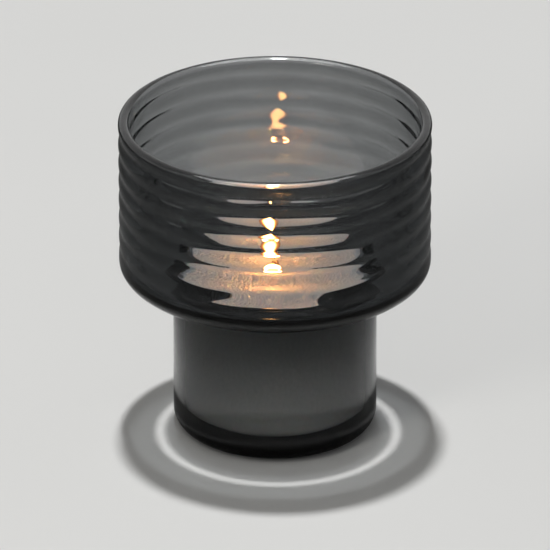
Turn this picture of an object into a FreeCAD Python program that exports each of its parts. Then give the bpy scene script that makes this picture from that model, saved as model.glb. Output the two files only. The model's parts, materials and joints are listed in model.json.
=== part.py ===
import FreeCAD, Part
import Sketcher
import os

# A smoked-glass candle vessel: a narrow closed foot with a wide ribbed cup on it, blown in one
# piece, filled with granulated wax up to the shoulder, with a waxed wick pushed into the wax.
# Millimetres. +Z is up, the vessel's axis is Z, and the origin is the middle of its underside.

DRIVING_SIZES = {
    "cup_radius": 60.0,          # outside of the lip and of the rib crests
    "total_height": 128.0,
    "foot_radius": 39.3,         # outside of the smooth foot
    "shoulder_height": 64.0,     # flat underside of the cup
    "wall": 4.2,                 # glass thickness of cup, shoulder and foot wall
    "foot_floor": 7.5,           # glass thickness under the wax
    "foot_edge_round": 6.5,      # bottom outer edge of the foot
    "cup_corner_round": 6.0,     # bottom outer corner of the cup
    "neck_round": 2.5,           # concave corner where the cup's underside meets the foot
    "cup_floor_round": 4.0,      # inside corner between cup floor and cup wall
    "foot_floor_round": 5.0,     # inside corner at the bottom of the foot
    "lip_round": 2.0,            # both edges of the lip
    "lip_band": 6.0,             # plain band between the lip's top and the first valley
    "rib_count": 7.0,            # valleys below the lip
    "rib_pitch": 7.8,
    "rib_depth": 0.65,           # valley depth below the crests
    "crest_land": 0.4,           # straight stretch on each crest
    "inner_wave": 0.1,           # how far the inside follows each crest
    "wax_gap": 0.05,             # between loose wax and glass
    "wick_radius": 1.5,
    "wick_length": 59.0,
    "wick_showing": 6.5,         # wick above the wax
    "wick_clearance": 0.05,      # radial, so that a new wick can be pushed in
    "wick_tip_round": 0.6,
}

DERIVED_SIZES = {
    "cup_inside": "=cup_radius - wall",
    "foot_inside": "=foot_radius - wall",
    "cup_floor": "=shoulder_height + wall",
    "rib_half": "=(rib_pitch - crest_land) / 2",
    "top_valley": "=total_height - lip_band",
    "top_crest": "=top_valley - rib_pitch / 2",
    "rib_span": "=(rib_count - 1) * rib_pitch",
    "wave_count": "=rib_count - 1",      # the lowest crest is beside the cup's floor
    "wave_span": "=(wave_count - 1) * rib_pitch",
    "wax_radius": "=foot_inside - wax_gap",
    "wax_bottom": "=foot_floor + wax_gap",
    "wax_round": "=foot_floor_round - wax_gap",
    "wax_height": "=shoulder_height - wax_bottom",
    "wick_top": "=shoulder_height + wick_showing",
    "wick_bottom": "=wick_top - wick_length",
    "bore_radius": "=wick_radius + wick_clearance",
    "bore_depth": "=shoulder_height - wick_bottom",
}

ORIGIN_POINT = (-1, 1)
H_AXIS = -1
V_AXIS = -2


def make_sheet(doc):
    """The spreadsheet of sizes: name in column A, value or formula in column B."""
    sheet = doc.addObject("Spreadsheet::Sheet", "Sizes")
    row = 0
    for table in (DRIVING_SIZES, DERIVED_SIZES):
        for alias, content in table.items():
            row += 1
            sheet.set(f"A{row}", alias)
            sheet.set(f"B{row}", str(content))
            sheet.setAlias(f"B{row}", alias)
    doc.recompute()
    return sheet


def new_body(doc, name):
    body = doc.addObject("PartDesign::Body", name)
    body.Label = name
    body.Placement = FreeCAD.Placement()
    return body


def new_sketch(body, name, role):
    """A sketch on one of the body's own origin planes."""
    plane = next(item for item in body.Origin.OriginFeatures if item.Role == role)
    sketch = body.newObject("Sketcher::SketchObject", name)
    sketch.AttachmentSupport = [(plane, "")]
    sketch.MapMode = "FlatFace"
    return sketch


def pin_point(sketch, sheet, geometry, point, across, up):
    """Bind one point of the sketch to two sheet expressions; an empty one means zero."""
    for kind, axis, expression in (("DistanceX", V_AXIS, across), ("DistanceY", H_AXIS, up)):
        if not expression:
            sketch.addConstraint(Sketcher.Constraint("PointOnObject", geometry, point, axis))
            continue
        value = sheet.evalExpression(expression)
        index = sketch.addConstraint(
            Sketcher.Constraint(kind, *ORIGIN_POINT, geometry, point, float(value)))
        sketch.setExpression(f"Constraints[{index}]", sheet_names(sheet, expression))


def sheet_names(sheet, expression):
    """Prefix every alias in an expression with the sheet's name."""
    words = expression.replace("(", " ( ").replace(")", " ) ").split()
    aliases = set(DRIVING_SIZES) | set(DERIVED_SIZES)
    return " ".join(f"{sheet.Name}.{word}" if word in aliases else word for word in words)


def corner_point(sheet, corner):
    across, up = (float(sheet.evalExpression(text)) if text else 0.0 for text in corner)
    return FreeCAD.Vector(across, up, 0)


def polygon_sketch(body, sheet, name, corners):
    """A closed polygon in the XZ plane with each corner bound to the sheet."""
    sketch = new_sketch(body, name, "XZ_Plane")
    points = [corner_point(sheet, corner) for corner in corners]
    count = len(points)
    for index in range(count):
        sketch.addGeometry(Part.LineSegment(points[index], points[(index + 1) % count]), False)
    for index in range(count):
        sketch.addConstraint(
            Sketcher.Constraint("Coincident", index, 2, (index + 1) % count, 1))
    for index, (across, up) in enumerate(corners):
        pin_point(sketch, sheet, index, 1, across, up)
    return sketch


def revolve(body, sketch, kind, name):
    """A full-turn PartDesign Revolution or Groove about the vessel's axis."""
    feature = body.newObject(f"PartDesign::{kind}", name)
    feature.Profile = sketch
    feature.ReferenceAxis = (sketch, ["V_Axis"])
    feature.Angle = 360.0
    sketch.Visibility = False
    return feature


def ring_edge(shape, radius, height):
    """Name of the circular edge with this radius at this height."""
    for index, edge in enumerate(shape.Edges, start=1):
        curve = edge.Curve
        if not isinstance(curve, Part.Circle):
            continue
        if abs(curve.Radius - radius) < 1e-4 and abs(curve.Center.z - height) < 1e-4:
            return f"Edge{index}"
    raise ValueError(f"no ring edge of radius {radius} at height {height}")


def round_edges(doc, body, sheet, name, size, rings):
    """Fillet the ring edges given as (radius alias, height alias or None for zero)."""
    doc.recompute()
    base = body.Tip
    edges = []
    for radius, height in rings:
        level = sheet.get(height) if height else 0.0
        edges.append(ring_edge(base.Shape, sheet.get(radius), level))
    fillet = body.newObject("PartDesign::Fillet", name)
    fillet.Base = (base, edges)
    fillet.setExpression("Radius", f"{sheet.Name}.{size}")


def shallow_arc(start, end, centre):
    """The anticlockwise arc from start to end about a centre."""
    middle = (start + end) * 0.5 - centre
    middle.normalize()
    return Part.Arc(start, centre + middle * centre.distanceToPoint(start), end)


def valley_sketch(body, sheet):
    """One valley between two crests: two convex arcs that meet in the valley's bottom."""
    sketch = new_sketch(body, "valley_outline", "XZ_Plane")
    radius, level = sheet.get("cup_radius"), sheet.get("top_valley")
    depth, half = sheet.get("rib_depth"), sheet.get("rib_half")
    upper, lower = FreeCAD.Vector(radius, level + half, 0), FreeCAD.Vector(radius, level - half, 0)
    bottom = FreeCAD.Vector(radius - depth, level, 0)
    to_centre = FreeCAD.Vector(-(half ** 2 + depth ** 2) / (2 * depth), 0, 0)
    upper_arc, lower_arc, mouth = 0, 1, 2
    sketch.addGeometry(shallow_arc(bottom, upper, upper + to_centre), False)
    sketch.addGeometry(shallow_arc(lower, bottom, lower + to_centre), False)
    sketch.addGeometry(Part.LineSegment(lower, upper), False)
    sketch.addConstraint(Sketcher.Constraint("Coincident", upper_arc, 1, lower_arc, 2))
    sketch.addConstraint(Sketcher.Constraint("Coincident", upper_arc, 2, mouth, 2))
    sketch.addConstraint(Sketcher.Constraint("Coincident", lower_arc, 1, mouth, 1))
    sketch.addConstraint(Sketcher.Constraint("Horizontal", upper_arc, 3, upper_arc, 2))
    sketch.addConstraint(Sketcher.Constraint("Horizontal", lower_arc, 3, lower_arc, 1))
    pin_point(sketch, sheet, mouth, 1, "cup_radius", "top_valley - rib_half")
    pin_point(sketch, sheet, mouth, 2, "cup_radius", "top_valley + rib_half")
    pin_point(sketch, sheet, upper_arc, 1, "cup_radius - rib_depth", "top_valley")
    return sketch


def wave_sketch(body, sheet):
    """One shallow channel inside the cup, behind a crest: an arc on its chord."""
    sketch = new_sketch(body, "wave_outline", "XZ_Plane")
    radius, level = sheet.get("cup_inside"), sheet.get("top_crest")
    depth, half = sheet.get("inner_wave"), sheet.get("rib_half")
    arc_radius = (half ** 2 + depth ** 2) / (2 * depth)
    lower, upper = FreeCAD.Vector(radius, level - half, 0), FreeCAD.Vector(radius, level + half, 0)
    centre = FreeCAD.Vector(radius + depth - arc_radius, level, 0)
    arc, chord = 0, 1
    sketch.addGeometry(shallow_arc(lower, upper, centre), False)
    sketch.addGeometry(Part.LineSegment(upper, lower), False)
    sketch.addConstraint(Sketcher.Constraint("Coincident", arc, 2, chord, 1))
    sketch.addConstraint(Sketcher.Constraint("Coincident", arc, 1, chord, 2))
    pin_point(sketch, sheet, chord, 1, "cup_inside", "top_crest + rib_half")
    pin_point(sketch, sheet, chord, 2, "cup_inside", "top_crest - rib_half")
    index = sketch.addConstraint(Sketcher.Constraint("Radius", arc, arc_radius))
    sketch.setExpression(f"Constraints[{index}]", sheet_names(
        sheet, "(rib_half ^ 2 + inner_wave ^ 2) / (2 * inner_wave)"))
    return sketch


def repeat_down(body, sheet, name, groove, sketch, span, count):
    """Repeat a groove down the cup, one rib pitch apart."""
    pattern = body.newObject("PartDesign::LinearPattern", name)
    pattern.Originals = [groove]
    pattern.Direction = (sketch, ["V_Axis"])
    pattern.Reversed = True
    pattern.setExpression("Length", f"{sheet.Name}.{span}")
    pattern.setExpression("Occurrences", f"{sheet.Name}.{count}")
    body.Tip = pattern


def build_glass(doc, sheet):
    """The vessel: a turned shell, its rounded edges, then the ribs outside and inside."""
    body = new_body(doc, "glass_vessel")
    outline = polygon_sketch(body, sheet, "vessel_outline", [
        ("", ""),
        ("foot_radius", ""),
        ("foot_radius", "shoulder_height"),
        ("cup_radius", "shoulder_height"),
        ("cup_radius", "total_height"),
        ("cup_inside", "total_height"),
        ("cup_inside", "cup_floor"),
        ("foot_inside", "cup_floor"),
        ("foot_inside", "foot_floor"),
        ("", "foot_floor"),
    ])
    revolve(body, outline, "Revolution", "vessel_shell")
    rounds = [
        ("foot_edge", "foot_edge_round", [("foot_radius", None)]),
        ("neck", "neck_round", [("foot_radius", "shoulder_height")]),
        ("cup_corner", "cup_corner_round", [("cup_radius", "shoulder_height")]),
        ("cup_floor_corner", "cup_floor_round", [("cup_inside", "cup_floor")]),
        ("throat", "wall", [("foot_inside", "cup_floor")]),
        ("foot_floor_corner", "foot_floor_round", [("foot_inside", "foot_floor")]),
        ("lip", "lip_round", [("cup_radius", "total_height"), ("cup_inside", "total_height")]),
    ]
    for name, size, rings in rounds:
        round_edges(doc, body, sheet, name, size, rings)
    valley = valley_sketch(body, sheet)
    groove = revolve(body, valley, "Groove", "top_valley_groove")
    repeat_down(body, sheet, "valleys", groove, valley, "rib_span", "rib_count")
    doc.recompute()
    wave = wave_sketch(body, sheet)
    channel = revolve(body, wave, "Groove", "top_wave_groove")
    repeat_down(body, sheet, "waves", channel, wave, "wave_span", "wave_count")
    return body


def round_profile(body, sheet, name, radius):
    """A circle about the axis in the XY plane, its radius bound to the sheet."""
    sketch = new_sketch(body, name, "XY_Plane")
    centre, up = FreeCAD.Vector(0, 0, 0), FreeCAD.Vector(0, 0, 1)
    sketch.addGeometry(Part.Circle(centre, up, sheet.get(radius)), False)
    sketch.addConstraint(Sketcher.Constraint("Coincident", 0, 3, *ORIGIN_POINT))
    index = sketch.addConstraint(Sketcher.Constraint("Radius", 0, sheet.get(radius)))
    sketch.setExpression(f"Constraints[{index}]", f"{sheet.Name}.{radius}")
    return sketch


def raise_to(sketch, sheet, height):
    """Lift a sketch from its plane by a height in the sheet."""
    sketch.setExpression("AttachmentOffset.Base.z", f"{sheet.Name}.{height}")


def pad(body, sheet, sketch, name, length):
    feature = body.newObject("PartDesign::Pad", name)
    feature.Profile = sketch
    feature.setExpression("Length", f"{sheet.Name}.{length}")
    sketch.Visibility = False


def build_wax(doc, sheet):
    """The wax fill: it has the shape of the foot's inside, with a hole for the wick."""
    body = new_body(doc, "wax_fill")
    outline = round_profile(body, sheet, "wax_outline", "wax_radius")
    raise_to(outline, sheet, "wax_bottom")
    pad(body, sheet, outline, "wax_block", "wax_height")
    round_edges(doc, body, sheet, "wax_bottom_edge", "wax_round", [("wax_radius", "wax_bottom")])
    bore = round_profile(body, sheet, "bore_outline", "bore_radius")
    raise_to(bore, sheet, "shoulder_height")
    pocket = body.newObject("PartDesign::Pocket", "wick_bore")
    pocket.Profile = bore
    pocket.setExpression("Length", f"{sheet.Name}.bore_depth")
    bore.Visibility = False
    return body


def build_wick(doc, sheet):
    """The wick: a stiff waxed cord that stands on the bottom of its hole."""
    body = new_body(doc, "wick")
    outline = round_profile(body, sheet, "wick_outline", "wick_radius")
    raise_to(outline, sheet, "wick_bottom")
    pad(body, sheet, outline, "wick_cord", "wick_length")
    round_edges(doc, body, sheet, "wick_tip", "wick_tip_round", [("wick_radius", "wick_top")])
    return body


def check_document(doc, bodies):
    """Stop if any feature failed or any sub-part has no valid shape."""
    for item in doc.Objects:
        if "Invalid" in item.State or "Error" in item.State:
            raise RuntimeError(f"{item.Name} failed: {item.State}")
    for body in bodies:
        if body.Shape.isNull() or not body.Shape.isValid() or len(body.Shape.Solids) != 1:
            raise RuntimeError(f"{body.Name} has no single valid solid")


def main():
    os.makedirs("parts", exist_ok=True)
    doc = FreeCAD.newDocument("candle_vessel")
    sheet = make_sheet(doc)
    bodies = []
    for build in (build_glass, build_wax, build_wick):
        bodies.append(build(doc, sheet))
        doc.recompute()
    check_document(doc, bodies)
    for body in bodies:
        body.Shape.exportStep(f"parts/{body.Label}.step")
        print(f"{body.Label}: {body.Shape.Volume:.1f} mm3, {len(body.Shape.Faces)} faces")


main()
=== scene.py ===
import json
import math
import bpy
import numpy as np
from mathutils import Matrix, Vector
from mathutils.kdtree import KDTree

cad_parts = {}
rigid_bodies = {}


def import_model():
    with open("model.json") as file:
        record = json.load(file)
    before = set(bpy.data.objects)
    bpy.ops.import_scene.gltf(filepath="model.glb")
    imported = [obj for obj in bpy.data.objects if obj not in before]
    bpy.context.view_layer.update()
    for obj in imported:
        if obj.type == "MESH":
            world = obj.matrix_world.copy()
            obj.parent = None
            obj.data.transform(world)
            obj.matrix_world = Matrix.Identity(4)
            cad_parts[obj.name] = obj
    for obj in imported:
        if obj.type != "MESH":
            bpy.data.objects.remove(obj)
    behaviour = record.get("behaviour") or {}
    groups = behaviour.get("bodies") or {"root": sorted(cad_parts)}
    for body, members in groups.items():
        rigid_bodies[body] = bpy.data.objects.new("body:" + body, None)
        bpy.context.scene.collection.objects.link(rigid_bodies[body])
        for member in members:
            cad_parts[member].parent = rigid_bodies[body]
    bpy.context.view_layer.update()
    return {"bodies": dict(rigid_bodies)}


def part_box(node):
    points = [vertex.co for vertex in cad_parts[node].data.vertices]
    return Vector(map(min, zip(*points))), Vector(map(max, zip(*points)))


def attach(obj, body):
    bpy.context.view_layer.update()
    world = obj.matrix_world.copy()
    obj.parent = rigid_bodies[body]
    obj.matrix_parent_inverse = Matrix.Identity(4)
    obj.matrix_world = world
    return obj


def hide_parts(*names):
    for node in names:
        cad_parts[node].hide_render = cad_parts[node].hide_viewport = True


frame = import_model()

# The looks of a smoked-glass candle vessel: a narrow closed foot, a wide ribbed cup, granulated
# wax up to the shoulder and a burning wick. Metres, +Z up, the vessel's axis on Z.

MM = 0.001
SEED = 11

# ---------------------------------------------------------------- driving sizes
GLASS_LOW, GLASS_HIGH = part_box("glass_vessel")
WAX_LOW, WAX_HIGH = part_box("wax_fill")
WICK_LOW, WICK_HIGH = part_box("wick")
CUP_RADIUS = GLASS_HIGH.x
TOTAL_HEIGHT = GLASS_HIGH.z
WAX_GAP = 0.05 * MM
WAX_RADIUS = WAX_HIGH.x
WAX_TOP = WAX_HIGH.z
WAX_BOTTOM = WAX_LOW.z
WALL = 4.2 * MM
FOOT_INSIDE = WAX_RADIUS + WAX_GAP
FOOT_RADIUS = FOOT_INSIDE + WALL
FOOT_FLOOR = WAX_BOTTOM - WAX_GAP
SHOULDER = WAX_TOP
CUP_INSIDE = CUP_RADIUS - WALL
CUP_FLOOR = SHOULDER + WALL
FOOT_EDGE_ROUND = 6.5 * MM
CUP_CORNER_ROUND = 6.0 * MM
NECK_ROUND = 2.5 * MM
CUP_FLOOR_ROUND = 4.0 * MM
FOOT_FLOOR_ROUND = 5.0 * MM
LIP_ROUND = 2.0 * MM
LIP_BAND = 6.0 * MM
RIB_PITCH = 7.8 * MM
RIB_COUNT = 7
RIB_DEPTH = 0.65 * MM
CREST_SHARE = 0.65           # how much of a rib is convex; the rest is the softened valley
TOP_RIB_SHARE = 1.45         # the mould's ribs come out crisper near the lip
LOW_RIB_SHARE = 0.7
INNER_WAVE = 0.1 * MM
TOP_VALLEY = TOTAL_HEIGHT - LIP_BAND
BORE_RADIUS = WICK_HIGH.x + WAX_GAP
WICK_BOTTOM = WICK_LOW.z
WICK_TOP = WICK_HIGH.z
CRUST = 3.0 * MM             # depth of the surface layer of wax pearls
PEARL_PITCH = 1.25 * MM
WICK_LEAN = 1.2 * MM         # how far the burnt tip leans towards -X
FLAME_HEIGHT = 17.5 * MM
FLAME_RADIUS = 4.3 * MM
FLAME_DIP = 2.0 * MM         # how far the flame reaches down over the wick's tip
FLAME_SWAY = 0.8 * MM        # how far its middle bulges towards -X
FLAME_STRENGTH = 34.0
GLOW_POWER = 0.10
POOL_RADIUS = 9.0 * MM       # the melted wax round the wick
GLASS_COLOUR = (0.10, 0.122, 0.135, 1)
GLASS_DENSITY = 348.0
SHADOW_DENSITY = 540.0       # of the stand-ins that throw the glass's shadow
SLIT_INNER = 43.2 * MM       # the ring of light round the foot, seen on the cup's floor
SLIT_OUTER = 46.2 * MM
SHADE_TOP = TOTAL_HEIGHT - 8 * MM
FLOOR_HALF = 30.0
FLOOR_LEVEL = -0.03 * MM     # just clear of the foot, so that the two faces don't coincide
GLASS_SEGMENTS = 288
CRUST_SEGMENTS = 600         # fine enough for the pearls at the rim of the wax
COLUMN_SEGMENTS = 480
FLAME_SEGMENTS = 48
SHADE_SEGMENTS = 128
DIFFUSE_ROOM = 0.17          # the room's brightness for soft light, and as seen or mirrored
SEEN_ROOM = 0.85
AIM = Vector((0, 0, 0.064))  # the point that the lamps are turned to
CAMERA_TARGET = Vector((0, 0, 0.0618))
CAMERA_DISTANCE = 3.059
CAMERA_AZIMUTH = 1.034
CAMERA_ELEVATION = 25.75
CAMERA_LENS = 520


# ---------------------------------------------------------------- outlines
def arc(centre_r, centre_z, radius, start_deg, end_deg, steps):
    """Points (r, z) along an arc of the half section."""
    angles = np.radians(np.linspace(start_deg, end_deg, steps + 1))
    return [(centre_r + radius * math.cos(a), centre_z + radius * math.sin(a)) for a in angles]


def straight(start, end, steps):
    """Points along a straight stretch, without its two ends."""
    (r0, z0), (r1, z1) = start, end
    return [(r0 + (r1 - r0) * t, z0 + (z1 - z0) * t) for t in np.arange(1, steps) / steps]


def glass_outline():
    """The vessel's half section without ribs, from the axis below, round and back down inside."""
    steps_per_rib = 22
    outside_top = TOTAL_HEIGHT - LIP_ROUND
    outside_low = SHOULDER + CUP_CORNER_ROUND
    inside_low = CUP_FLOOR + CUP_FLOOR_ROUND
    wall_steps = int((outside_top - outside_low) / RIB_PITCH * steps_per_rib)
    points = [(0.0, 0.0)]
    points += straight((0, 0), (FOOT_RADIUS - FOOT_EDGE_ROUND, 0), 8)
    points += arc(FOOT_RADIUS - FOOT_EDGE_ROUND, FOOT_EDGE_ROUND, FOOT_EDGE_ROUND, -90, 0, 20)
    points += straight((FOOT_RADIUS, FOOT_EDGE_ROUND), (FOOT_RADIUS, SHOULDER - NECK_ROUND), 30)
    points += arc(FOOT_RADIUS + NECK_ROUND, SHOULDER - NECK_ROUND, NECK_ROUND, 180, 90, 12)
    points += straight((FOOT_RADIUS + NECK_ROUND, SHOULDER),
                       (CUP_RADIUS - CUP_CORNER_ROUND, SHOULDER), 12)
    points += arc(CUP_RADIUS - CUP_CORNER_ROUND, outside_low, CUP_CORNER_ROUND, -90, 0, 20)
    points += straight((CUP_RADIUS, outside_low), (CUP_RADIUS, outside_top), wall_steps)
    points += arc(CUP_RADIUS - LIP_ROUND, outside_top, LIP_ROUND, 0, 90, 14)
    points += arc(CUP_INSIDE + LIP_ROUND, outside_top, LIP_ROUND, 90, 180, 14)
    points += straight((CUP_INSIDE, outside_top), (CUP_INSIDE, inside_low), wall_steps)
    points += arc(CUP_INSIDE - CUP_FLOOR_ROUND, inside_low, CUP_FLOOR_ROUND, 0, -90, 14)
    points += straight((CUP_INSIDE - CUP_FLOOR_ROUND, CUP_FLOOR),
                       (FOOT_INSIDE + WALL, CUP_FLOOR), 10)
    points += arc(FOOT_INSIDE + WALL, CUP_FLOOR - WALL, WALL, 90, 180, 16)
    points += straight((FOOT_INSIDE, SHOULDER),
                       (FOOT_INSIDE, FOOT_FLOOR + FOOT_FLOOR_ROUND), 16)
    points += arc(FOOT_INSIDE - FOOT_FLOOR_ROUND, FOOT_FLOOR + FOOT_FLOOR_ROUND,
                  FOOT_FLOOR_ROUND, 0, -90, 12)
    points += straight((FOOT_INSIDE - FOOT_FLOOR_ROUND, FOOT_FLOOR), (0, FOOT_FLOOR), 6)
    points.append((0.0, FOOT_FLOOR))
    return points


def rib_drop(levels):
    """How far the outside lies below the crests: convex crests with softened valleys."""
    phase = (TOP_VALLEY - levels) / RIB_PITCH
    from_valley = np.abs(phase - np.round(phase)) * 2
    from_crest = 1 - from_valley
    steepness = RIB_DEPTH / CREST_SHARE
    crest = steepness * from_crest ** 2
    valley = RIB_DEPTH - steepness * CREST_SHARE / (1 - CREST_SHARE) * from_valley ** 2
    ribbed = (phase > -0.5) & (phase < RIB_COUNT - 0.5)
    crisp = TOP_RIB_SHARE + (LOW_RIB_SHARE - TOP_RIB_SHARE) * phase / (RIB_COUNT - 1)
    return np.where(ribbed, crisp * np.where(from_crest <= CREST_SHARE, crest, valley), 0.0)


def inner_swell(levels):
    """How far the inside follows each crest outwards."""
    phase = (TOP_VALLEY - levels) / RIB_PITCH
    waved = (phase > 0) & (phase < RIB_COUNT - 1)
    return np.where(waved, INNER_WAVE * (1 - np.cos(2 * math.pi * phase)) / 2, 0.0)


def ripple(rng, count, around, up):
    """A smooth seeded unevenness over a round wall: f(angle, level), between -1 and 1.

    around is the highest number of waves per turn, and up the most waves per metre."""
    terms = [(int(rng.integers(2, around + 1)), rng.uniform(-up, up) * 2 * math.pi,
              rng.uniform(0, 2 * math.pi)) for _ in range(count)]

    def value(angles, level):
        return sum(np.sin(n * angles + k * level + p) for n, k, p in terms) / count
    return value


def glass_unevenness():
    """The small faults of mould-blown glass: ribs that waver and a wall that isn't quite even."""
    rng = np.random.default_rng(SEED)
    waver = ripple(rng, 7, 9, 12)
    depth = ripple(rng, 6, 14, 30)
    outer = ripple(rng, 10, 30, 60)
    inner = ripple(rng, 10, 16, 60)
    waver_size, depth_share, outer_size, inner_size = 1.0 * MM, 0.3, 0.12 * MM, 0.24 * MM

    def shift(r, z, angles):
        if z <= SHOULDER + CUP_CORNER_ROUND or z >= TOTAL_HEIGHT - LIP_ROUND:
            return 0.0, 0.0
        fade = min(1.0, (z - SHOULDER - CUP_CORNER_ROUND) / (4 * MM),
                   (TOTAL_HEIGHT - LIP_ROUND - z) / (3 * MM))
        levels = z + fade * waver_size * waver(angles, z)
        if abs(r - CUP_RADIUS) < 1e-6:
            drop = rib_drop(levels) * (1 + depth_share * (depth(angles, z) - 1))
            return -drop - fade * outer_size * (1 + outer(angles, z)) / 2, 0.0
        if abs(r - CUP_INSIDE) < 1e-6:
            return inner_swell(levels) + fade * inner_size * inner(angles, z), 0.0
        return 0.0, 0.0
    return shift


# ---------------------------------------------------------------- meshes
def new_piece(name, vertices, faces, smooth=True):
    mesh = bpy.data.meshes.new(name)
    mesh.from_pydata([tuple(v) for v in vertices], [], faces)
    mesh.validate()
    if smooth:
        mesh.shade_smooth()
    piece = bpy.data.objects.new(name, mesh)
    bpy.context.scene.collection.objects.link(piece)
    return piece


def turned_rows(outline, segments, shift):
    """One row of points round the axis for each point (r, z) of a section.

    shift(r, z, angles) may return small changes (dr, dz) of a row's points."""
    angles = np.arange(segments) * 2 * math.pi / segments
    rows = []
    for r, z in outline:
        dr, dz = shift(r, z, angles) if shift else (0.0, 0.0)
        radii = r + dr + np.zeros(segments)
        heights = z + dz + np.zeros(segments)
        rows.append(np.column_stack((radii * np.cos(angles), radii * np.sin(angles), heights)))
    return rows


def lathe(name, outline, segments, shift=None):
    """A closed turned mesh from a half section whose first and last points are on the axis."""
    rows = turned_rows(outline[1:-1], segments, shift)
    vertices = [(0, 0, outline[0][1])] + [p for row in rows for p in row]
    vertices.append((0, 0, outline[-1][1]))
    last = len(vertices) - 1
    end = last - segments
    faces = []
    for k in range(segments):
        n = (k + 1) % segments
        faces.append((0, 1 + n, 1 + k))
        for a in range(1, end, segments):
            faces.append((a + k, a + n, a + segments + n, a + segments + k))
        faces.append((end + k, end + n, last))
    return new_piece(name, vertices, faces)


def turned_ring(name, section, segments, shift=None, smooth=True):
    """A closed ring turned from a closed section, listed clockwise as seen with r to the right."""
    rows = turned_rows(section, segments, shift)
    vertices = [p for row in rows for p in row]
    count = len(rows)
    faces = []
    for i in range(count):
        a, b = i * segments, (i + 1) % count * segments
        for k in range(segments):
            n = (k + 1) % segments
            faces.append((a + k, b + k, b + n, a + n))
    return new_piece(name, vertices, faces, smooth)


def tube(points, radii, sides):
    """Vertices and faces of a closed tube along a nearly upright path of points."""
    vertices = [tuple(points[0])]
    for centre, radius in zip(points, radii):
        for k in range(sides):
            a = 2 * math.pi * k / sides
            vertices.append((centre[0] + radius * math.cos(a), centre[1] + radius * math.sin(a),
                             centre[2]))
    vertices.append(tuple(points[-1]))
    last = len(vertices) - 1
    faces = []
    for k in range(sides):
        n = (k + 1) % sides
        faces.append((0, 1 + n, 1 + k))
        for row in range(len(points) - 1):
            a = 1 + row * sides
            faces.append((a + k, a + n, a + sides + n, a + sides + k))
        end = last - sides
        faces.append((end + k, end + n, last))
    return vertices, faces


# ---------------------------------------------------------------- materials
def new_material(name):
    material = bpy.data.materials.new(name)
    material.use_nodes = True
    nodes = material.node_tree.nodes
    return material, nodes, material.node_tree.links, nodes["Principled BSDF"]


def noise(nodes, links, scale, detail=3.0, coordinates=None):
    texture = nodes.new("ShaderNodeTexNoise")
    texture.inputs["Scale"].default_value = scale
    texture.inputs["Detail"].default_value = detail
    if coordinates is None:
        coordinates = nodes.new("ShaderNodeTexCoord").outputs["Object"]
    links.new(coordinates, texture.inputs["Vector"])
    return texture.outputs["Fac"]


def ramp(nodes, links, factor, stops):
    """A colour ramp with stops (position, colour)."""
    node = nodes.new("ShaderNodeValToRGB")
    elements = node.color_ramp.elements
    for element, (position, colour) in zip(list(elements), (stops[0], stops[-1])):
        element.position = position
        element.color = colour
    for position, colour in stops[1:-1]:
        elements.new(position).color = colour
    links.new(factor, node.inputs["Fac"])
    return node.outputs["Color"]


def maths(nodes, links, operation, first, second):
    """A maths node; second may be a plain number."""
    node = nodes.new("ShaderNodeMath")
    node.operation = operation
    links.new(first, node.inputs[0])
    if isinstance(second, (int, float)):
        node.inputs[1].default_value = second
    else:
        links.new(second, node.inputs[1])
    return node.outputs["Value"]


def bump(nodes, links, shader, height, distance):
    node = nodes.new("ShaderNodeBump")
    node.inputs["Distance"].default_value = distance
    links.new(height, node.inputs["Height"])
    links.new(node.outputs["Normal"], shader.inputs["Normal"])


def grey(value):
    return (value, value, value, 1)


def distance_ramp(nodes, links, stops):
    """A colour by distance from the vessel's axis, in metres."""
    flat = nodes.new("ShaderNodeVectorMath")
    flat.operation = "MULTIPLY"
    flat.inputs[1].default_value = (1, 1, 0)
    links.new(nodes.new("ShaderNodeTexCoord").outputs["Object"], flat.inputs[0])
    distance = nodes.new("ShaderNodeVectorMath")
    distance.operation = "LENGTH"
    links.new(flat.outputs["Vector"], distance.inputs[0])
    return ramp(nodes, links, distance.outputs["Value"], stops)


def fade_by_distance(nodes, links, stops):
    """A grey level by distance from the vessel's axis, in metres."""
    return distance_ramp(nodes, links, [(at, grey(level)) for at, level in stops])


def smoked_glass():
    """Clear grey glass: the colour comes from its thickness, so edges and the foot go dark."""
    material, nodes, links, shader = new_material("smoked_glass")
    shader.inputs["Base Color"].default_value = (1, 1, 1, 1)
    shader.inputs["Transmission Weight"].default_value = 1.0
    shader.inputs["IOR"].default_value = 1.46
    shader.inputs["Roughness"].default_value = 0.0
    bump(nodes, links, shader, noise(nodes, links, 160.0, 2.0), 0.012 * MM)
    absorption = nodes.new("ShaderNodeVolumeAbsorption")
    absorption.inputs["Color"].default_value = GLASS_COLOUR
    absorption.inputs["Density"].default_value = GLASS_DENSITY
    links.new(absorption.outputs["Volume"], nodes["Material Output"].inputs["Volume"])
    return material


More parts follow.
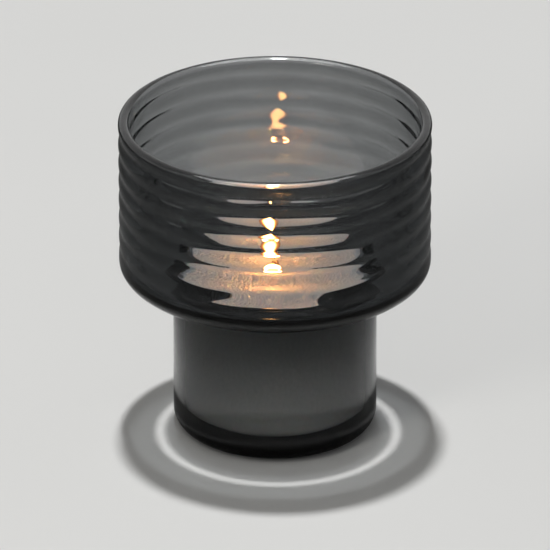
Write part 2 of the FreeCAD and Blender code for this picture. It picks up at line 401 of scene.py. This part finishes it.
def granular_wax(name, rim_tint):
    """White paraffin: soft inside light, tiny pits, and a painted flame glow in its colour: warm by
    the wick, turning to rim_tint further out.
    """
    material, nodes, links, shader = new_material(name)
    tone = ramp(nodes, links, noise(nodes, links, 900.0, 4.0),
                [(0.3, (0.86, 0.86, 0.85, 1)), (0.7, (1.0, 1.0, 1.0, 1))])
    # Painted flame glow in the wax's colour: orange near the wick, turning to rim_tint further out.
    painted_glow = distance_ramp(nodes, links, [
        (0.006, (0.82, 0.71, 0.60, 1)), (0.018, (0.85, 0.79, 0.72, 1)),
        (0.034, rim_tint)])
    glow_painted_tone = nodes.new("ShaderNodeVectorMath")
    glow_painted_tone.operation = "MULTIPLY"
    links.new(tone, glow_painted_tone.inputs[0])
    links.new(painted_glow, glow_painted_tone.inputs[1])
    links.new(glow_painted_tone.outputs["Vector"], shader.inputs["Base Color"])
    gloss = ramp(nodes, links, noise(nodes, links, 400.0), [(0.35, grey(0.38)), (0.65, grey(0.62))])
    links.new(gloss, shader.inputs["Roughness"])
    shader.inputs["Subsurface Weight"].default_value = 0.3
    shader.inputs["Subsurface Radius"].default_value = (1.0, 0.6, 0.35)
    shader.inputs["Subsurface Scale"].default_value = 2 * MM
    bump(nodes, links, shader, noise(nodes, links, 3500.0, 3.0), 0.05 * MM)
    return material


def wick_cotton():
    """Waxed cotton that browns and chars towards the tip, where a few fibres still glow."""
    material, nodes, links, shader = new_material("wick_cotton")
    place = nodes.new("ShaderNodeTexCoord").outputs["Object"]
    split = nodes.new("ShaderNodeSeparateXYZ")
    links.new(place, split.inputs["Vector"])
    level = nodes.new("ShaderNodeMapRange")
    level.inputs["From Min"].default_value = WAX_TOP - 1 * MM
    level.inputs["From Max"].default_value = WICK_TOP
    links.new(split.outputs["Z"], level.inputs["Value"])
    tone = ramp(nodes, links, level.outputs["Result"], [
        (0.0, (0.72, 0.67, 0.55, 1)), (0.25, (0.42, 0.30, 0.18, 1)),
        (0.45, (0.06, 0.035, 0.02, 1)), (1.0, (0.012, 0.010, 0.009, 1))])
    links.new(tone, shader.inputs["Base Color"])
    fibres = noise(nodes, links, 4000.0, 4.0, place)
    shade = ramp(nodes, links, fibres, [(0.3, grey(0.75)), (0.7, grey(0.95))])
    links.new(shade, shader.inputs["Roughness"])
    spots = ramp(nodes, links, noise(nodes, links, 1500.0, 2.0, place),
                 [(0.5, grey(0.0)), (0.62, grey(1.0))])
    near_tip = ramp(nodes, links, level.outputs["Result"], [(0.82, grey(0.0)), (0.97, grey(6.0))])
    shader.inputs["Emission Color"].default_value = (1.0, 0.25, 0.04, 1)
    links.new(maths(nodes, links, "MULTIPLY", spots, near_tip),
              shader.inputs["Emission Strength"])
    bump(nodes, links, shader, fibres, 0.12 * MM)
    return material


def flame_light():
    """A flame that is white-hot inside, orange at its edge and fades out at its outline."""
    material = bpy.data.materials.new("flame_light")
    material.use_nodes = True
    nodes, links = material.node_tree.nodes, material.node_tree.links
    nodes.clear()
    output = nodes.new("ShaderNodeOutputMaterial")
    facing = nodes.new("ShaderNodeLayerWeight")
    facing.inputs["Blend"].default_value = 0.5
    tone = ramp(nodes, links, facing.outputs["Facing"], [
        (0.0, (1.0, 0.54, 0.18, 1)), (0.16, (1.0, 0.48, 0.15, 1)),
        (0.30, (1.0, 0.36, 0.09, 1)), (1.0, (0.9, 0.18, 0.03, 1))])
    glow = nodes.new("ShaderNodeEmission")
    links.new(tone, glow.inputs["Color"])
    brightness = ramp(nodes, links, facing.outputs["Facing"], [
        (0.0, grey(1.0)), (0.16, grey(0.75)), (0.27, grey(0.12)), (0.45, grey(0.06)),
        (1.0, grey(0.03))])
    links.new(maths(nodes, links, "MULTIPLY", brightness, FLAME_STRENGTH),
              glow.inputs["Strength"])
    clear = nodes.new("ShaderNodeBsdfTransparent")
    mix = nodes.new("ShaderNodeMixShader")
    links.new(ramp(nodes, links, facing.outputs["Facing"], [
        (0.3, grey(0.0)), (0.9, grey(1.0))]), mix.inputs["Fac"])
    links.new(glow.outputs["Emission"], mix.inputs[1])
    links.new(clear.outputs["BSDF"], mix.inputs[2])
    links.new(mix.outputs["Shader"], output.inputs["Surface"])
    return material


def one_unless(nodes, links, mask, level):
    """1 where mask is 0, and level where it is 1."""
    taken = maths(nodes, links, "SUBTRACT", level, 1.0)
    return maths(nodes, links, "ADD", maths(nodes, links, "MULTIPLY", mask, taken), 1.0)


def painted_flag_shade(nodes, links):
    """Painted shade in the floor's colour for mirrored and refracted rays: what black flags round
    the table do; the glass mirrors and refracts a darker room, while the table itself stays evenly
    pale."""
    ray = nodes.new("ShaderNodeLightPath")
    through = ray.outputs["Is Transmission Ray"]
    mirrored = maths(nodes, links, "SUBTRACT", ray.outputs["Is Glossy Ray"], through)
    mirrored = maths(nodes, links, "MAXIMUM", mirrored, 0.0)
    # Painted shade in the mirrored table: darkest close to the foot, full by the cup's edge, dim
    # far off.
    painted_mirror_shade = fade_by_distance(nodes, links, [(0.046, 0.3), (0.07, 1.0), (0.085, 1.0),
                                                (0.15, 0.22), (0.4, 0.10)])
    # Painted shade in the table seen through the glass: dimmer further behind, and half as bright
    # through two walls.
    painted_shade_behind = fade_by_distance(nodes, links, [(0.18, 1.0), (0.30, 0.78), (0.5, 0.65)])
    both_walls = maths(nodes, links, "GREATER_THAN", ray.outputs["Transmission Depth"], 2.5)
    level = one_unless(nodes, links, mirrored, painted_mirror_shade)
    level = maths(nodes, links, "MULTIPLY", level, one_unless(nodes, links, through, painted_shade_behind))
    walls = maths(nodes, links, "MULTIPLY", both_walls, -0.5)
    return maths(nodes, links, "MULTIPLY", level, maths(nodes, links, "ADD", walls, 1.0))


def floor_paint():
    material, nodes, links, shader = new_material("floor_paint")
    tone = ramp(nodes, links, noise(nodes, links, 3.0, 2.0),
                [(0.3, (0.705, 0.705, 0.693, 1)), (0.7, (0.73, 0.73, 0.72, 1))])
    dim = nodes.new("ShaderNodeVectorMath")
    dim.operation = "SCALE"
    links.new(tone, dim.inputs[0])
    # The floor's colour is scaled by the painted shade above, which only mirrored and refracted
    # rays see.
    links.new(painted_flag_shade(nodes, links), dim.inputs["Scale"])
    links.new(dim.outputs["Vector"], shader.inputs["Base Color"])
    shader.inputs["Roughness"].default_value = 0.8
    shader.inputs["Specular IOR Level"].default_value = 0.1
    return material


# ---------------------------------------------------------------- pieces
def make_glass():
    piece = lathe("glass_body", glass_outline(), GLASS_SEGMENTS, glass_unevenness())
    piece.data.materials.append(smoked_glass())
    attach(piece, "vessel")
    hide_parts("glass_vessel")
    return piece


def pearl_surface():
    """The height change of the wax surface at (r, angles): packed pearls, melted by the wick."""
    rng = np.random.default_rng(SEED + 1)
    reach = 0.62 * PEARL_PITCH
    pearls = []
    for sunk in (0.0, 0.5):
        rows = int(WAX_RADIUS / PEARL_PITCH) + 1
        for j in range(-rows - 2, rows + 3):
            for i in range(-rows, rows + 1):
                x = (i + (j % 2) / 2 + sunk * 0.5) * PEARL_PITCH
                y = (j * 0.866 + sunk) * PEARL_PITCH
                dx, dy = rng.normal(0, 0.13 * PEARL_PITCH, 2)
                size = rng.uniform(0.46, 0.62) * PEARL_PITCH
                top = -(sunk + rng.uniform(0, 0.35)) * PEARL_PITCH
                if math.hypot(x + dx, y + dy) < WAX_RADIUS - size:
                    pearls.append((x + dx, y + dy, top - size, size))
    tree = KDTree(len(pearls))
    for index, (x, y, _, _) in enumerate(pearls):
        tree.insert((x, y, 0), index)
    tree.balance()
    edge = ripple(rng, 5, 7, 0)
    bed = -1.3 * PEARL_PITCH

    def height(x, y):
        best = bed
        for _, index, distance in tree.find_range((x, y, 0), reach):
            _, _, centre, size = pearls[index]
            if distance < size:
                best = max(best, centre + math.sqrt(size ** 2 - distance ** 2))
        return best

    def shift(r, z, angles):
        if z < WAX_TOP:
            return 0.0, 0.0
        packed = np.array([height(r * math.cos(a), r * math.sin(a)) for a in angles])
        pool = -0.9 * MM + 1.0 * MM * math.exp(-(r - BORE_RADIUS) / (0.7 * MM))
        melted = np.clip((POOL_RADIUS + 1.4 * MM * edge(angles, 0) - r) / (2.5 * MM), 0, 1)
        melted = melted ** 2 * (3 - 2 * melted)
        return 0.0, packed * (1 - melted) + pool * melted
    return shift


def make_wax():
    """The wax in two layers: the crust of pearls on top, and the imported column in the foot."""
    crust_low = WAX_TOP - CRUST
    crust = [(BORE_RADIUS, WAX_TOP), (WAX_RADIUS, WAX_TOP)]
    crust = crust[:1] + straight(crust[0], crust[1], 112) + crust[1:]
    crust += [(WAX_RADIUS, crust_low), (BORE_RADIUS, crust_low)]
    pearls = turned_ring("wax_pearls", crust, CRUST_SEGMENTS, pearl_surface())
    # The crust's blue-grey rim tint is painted to offset the flame's orange light away from the
    # wick.
    pearls.data.materials.append(granular_wax("wax_pearls", (0.72, 0.77, 0.80, 1)))
    rng = np.random.default_rng(SEED + 2)
    lumps = ripple(rng, 24, 150, 500)

    def settle(r, z, angles):
        if r < WAX_RADIUS - FOOT_FLOOR_ROUND:
            return 0.0, 0.0
        return -0.35 * MM * (1 + lumps(angles, z)) / 2, 0.0
    low = WAX_BOTTOM + FOOT_FLOOR_ROUND
    side = [(0.0, WAX_BOTTOM)]
    side += arc(WAX_RADIUS - FOOT_FLOOR_ROUND, low, FOOT_FLOOR_ROUND, -90, 0, 14)
    side += straight((WAX_RADIUS, low), (WAX_RADIUS, crust_low), 90)
    side += [(WAX_RADIUS, crust_low), (BORE_RADIUS, crust_low), (BORE_RADIUS, WICK_BOTTOM)]
    side += [(0.0, WICK_BOTTOM)]
    column = lathe("wax_column", side, COLUMN_SEGMENTS, settle)
    column.data.materials.append(granular_wax("wax_column", (0.88, 0.87, 0.83, 1)))
    for piece in (pearls, column):
        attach(piece, "vessel")
        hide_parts("wax_fill")
    return column


def lean(z):
    """How far the burnt end of the wick leans, at a height."""
    share = max(0.0, (z - WAX_TOP) / (WICK_TOP - WAX_TOP))
    return -WICK_LEAN * share ** 2


def make_wick():
    """Three twisted strands, burnt thin and bent at the tip."""
    rng = np.random.default_rng(SEED + 3)
    strand_radius, offset, pitch, steps, sides = 0.74 * MM, 0.72 * MM, 8.5 * MM, 240, 14
    vertices, faces = [], []
    for strand in range(3):
        lumps = rng.uniform(0.90, 1.0, steps + 1)
        top = WICK_TOP - (0.0, 0.9, 0.4)[strand] * MM
        points, radii = [], []
        for k, z in enumerate(np.linspace(WICK_BOTTOM, top, steps + 1)):
            a = 2 * math.pi * (z / pitch + strand / 3)
            burnt = max(0.0, (z - WICK_TOP + 4 * MM) / (4 * MM))
            close = offset * (1 - 0.25 * burnt)
            ends = min(1.0, (top - z) / (0.6 * MM) + 0.25, (z - WICK_BOTTOM) / (0.4 * MM) + 0.4)
            points.append((lean(z) + close * math.cos(a), close * math.sin(a), z))
            radii.append(strand_radius * lumps[k] * (1 - 0.3 * burnt) * math.sqrt(ends))
        new_vertices, new_faces = tube(points, radii, sides)
        start = len(vertices)
        vertices += new_vertices
        faces += [tuple(start + i for i in face) for face in new_faces]
    piece = new_piece("wick_braid", vertices, faces)
    piece.data.materials.append(wick_cotton())
    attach(piece, "wick")
    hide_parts("wick")
    return piece


def make_flame():
    """The flame round the wick's tip, and the light that it gives."""
    low = WICK_TOP - FLAME_DIP
    outline = []
    for t in np.linspace(0, 1, 48):
        r = FLAME_RADIUS * math.sin(math.pi * t ** 0.62) ** 0.85 * (1 - 0.3 * t) if 0 < t < 1 else 0
        outline.append((r, low + FLAME_HEIGHT * t))
    piece = lathe("flame", outline, FLAME_SEGMENTS)
    for vertex in piece.data.vertices:
        rise = (vertex.co.z - low) / FLAME_HEIGHT
        vertex.co.x -= WICK_LEAN + FLAME_SWAY * math.sin(math.pi * rise)
    piece.data.materials.append(flame_light())
    piece.visible_shadow = False
    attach(piece, "wick")
    data = bpy.data.lights.new("flame_glow", "POINT")
    data.energy = GLOW_POWER
    data.color = (1.0, 0.42, 0.14)
    data.shadow_soft_size = 3 * MM
    glow = bpy.data.objects.new("flame_glow", data)
    bpy.context.scene.collection.objects.link(glow)
    glow.location = (-WICK_LEAN, -2 * MM, WICK_TOP - 1 * MM)
    glow.parent = frame["bodies"]["wick"]
    return piece


# ---------------------------------------------------------------- stage, light and camera
def make_floor():
    half, level = FLOOR_HALF, FLOOR_LEVEL
    corners = [(-half, -half, level), (half, -half, level), (half, half, level),
               (-half, half, level)]
    floor = new_piece("floor", corners, [(0, 1, 2, 3)])
    floor.data.materials.append(floor_paint())


def shadow_glass():
    """Lets light straight through and takes some of it for the thickness, as the glass does."""
    material = bpy.data.materials.new("shadow_glass")
    material.use_nodes = True
    nodes, links = material.node_tree.nodes, material.node_tree.links
    nodes.clear()
    output = nodes.new("ShaderNodeOutputMaterial")
    clear = nodes.new("ShaderNodeBsdfTransparent")
    links.new(clear.outputs["BSDF"], output.inputs["Surface"])
    absorption = nodes.new("ShaderNodeVolumeAbsorption")
    absorption.inputs["Color"].default_value = GLASS_COLOUR
    absorption.inputs["Density"].default_value = SHADOW_DENSITY
    links.new(absorption.outputs["Volume"], output.inputs["Volume"])
    return material


def make_shadow_glass():
    """Stands in for the glass in the lamps' shadows only, where a path tracer can't follow a
    lamp's rays through bending glass. The gap in the cup's floor gives the bright ring that the
    real neck gathers round the foot."""
    foot = [(FOOT_INSIDE, CUP_FLOOR), (SLIT_INNER, CUP_FLOOR), (SLIT_INNER, SHOULDER),
            (FOOT_RADIUS, SHOULDER), (FOOT_RADIUS, 1 * MM), (FOOT_INSIDE, 1 * MM)]
    cup = [(SLIT_OUTER, CUP_FLOOR), (CUP_INSIDE, CUP_FLOOR), (CUP_INSIDE, SHADE_TOP),
           (CUP_RADIUS, SHADE_TOP), (CUP_RADIUS, SHOULDER), (SLIT_OUTER, SHOULDER)]
    material = shadow_glass()
    pieces = [turned_ring("foot_shadow", foot, SHADE_SEGMENTS, smooth=False),
              turned_ring("cup_shadow", cup, SHADE_SEGMENTS, smooth=False)]
    for piece in pieces:
        piece.data.materials.append(material)
        for kind in ("camera", "diffuse", "glossy", "transmission", "volume_scatter"):
            setattr(piece, f"visible_{kind}", False)
    return pieces[0]


def area_light(name, offset, size, power, colour):
    """A round soft lamp, offset from the point that it is turned to."""
    data = bpy.data.lights.new(name, "AREA")
    data.shape = "DISK"
    data.size = size
    data.energy = power
    data.color = colour
    light = bpy.data.objects.new(name, data)
    bpy.context.scene.collection.objects.link(light)
    light.location = AIM + offset
    light.rotation_euler = (-offset).to_track_quat("-Z", "Y").to_euler()
    light.visible_camera = False
    return light


def direction(azimuth, elevation):
    """A unit vector towards a lamp: azimuth 0 is in front, towards -Y, and 90 is at +X."""
    a, e = math.radians(azimuth), math.radians(elevation)
    return Vector((math.sin(a) * math.cos(e), -math.cos(a) * math.cos(e), math.sin(e)))


def shine_through(light, pieces):
    """These pieces don't block this lamp; the glass's shadow stand-ins do."""
    passed = bpy.data.collections.new(f"{light.name}_passes")
    light.light_linking.blocker_collection = passed
    for piece in pieces:
        passed.objects.link(piece)
    for entry in passed.collection_objects:
        entry.light_linking.link_state = "EXCLUDE"


def make_lights(glass, column, foot_shadow):
    """A high key lamp for the shadow, soft boxes for the gloss, and a fill for the wax in the foot,
    which the cup shades from above."""
    world = bpy.data.worlds.new("studio")
    bpy.context.scene.world = world
    world.use_nodes = True
    nodes, links = world.node_tree.nodes, world.node_tree.links
    nodes["Background"].inputs["Color"].default_value = (1, 1, 1, 1)
    ray = nodes.new("ShaderNodeLightPath")
    seen = maths(nodes, links, "MAXIMUM", ray.outputs["Is Glossy Ray"],
                 ray.outputs["Is Camera Ray"])
    level = nodes.new("ShaderNodeMapRange")
    level.inputs["To Min"].default_value = DIFFUSE_ROOM
    level.inputs["To Max"].default_value = SEEN_ROOM
    links.new(seen, level.inputs["Value"])
    links.new(level.outputs["Result"], nodes["Background"].inputs["Strength"])
    key = area_light("key", 3.0 * direction(188, 81), 0.18, 64.5, (1, 1, 1))
    shine_through(key, [glass])
    area_light("side_box", 1.4 * direction(-38, 28), 0.4, 3.0, (1.0, 0.97, 0.9))
    top_box = area_light("top_box", Vector((0, -0.2, 2.0)), 2.4, 80, (1, 1, 1))
    top_box.visible_diffuse = False
    top_box.visible_transmission = False
    low_fill = area_light("low_fill", 1.5 * direction(8, 54), 0.9, 8.5, (1, 1, 0.97))
    shine_through(low_fill, [glass, foot_shadow])
    lit = bpy.data.collections.new("low_fill_lights")
    lit.objects.link(column)
    low_fill.light_linking.receiver_collection = lit
    low_fill.visible_glossy = False
    low_fill.visible_transmission = False


def make_camera():
    data = bpy.data.cameras.new("camera")
    data.sensor_width = 36
    data.lens = CAMERA_LENS
    data.clip_end = 100
    camera = bpy.data.objects.new("camera", data)
    bpy.context.scene.collection.objects.link(camera)
    offset = CAMERA_DISTANCE * direction(CAMERA_AZIMUTH, CAMERA_ELEVATION)
    camera.location = CAMERA_TARGET + offset
    camera.rotation_euler = (-offset).to_track_quat("-Z", "Y").to_euler()
    bpy.context.scene.camera = camera


glass = make_glass()
column = make_wax()
make_wick()
make_flame()
make_floor()
foot_shadow = make_shadow_glass()
make_lights(glass, column, foot_shadow)
make_camera()
bpy.context.scene.view_settings.view_transform = "Standard"
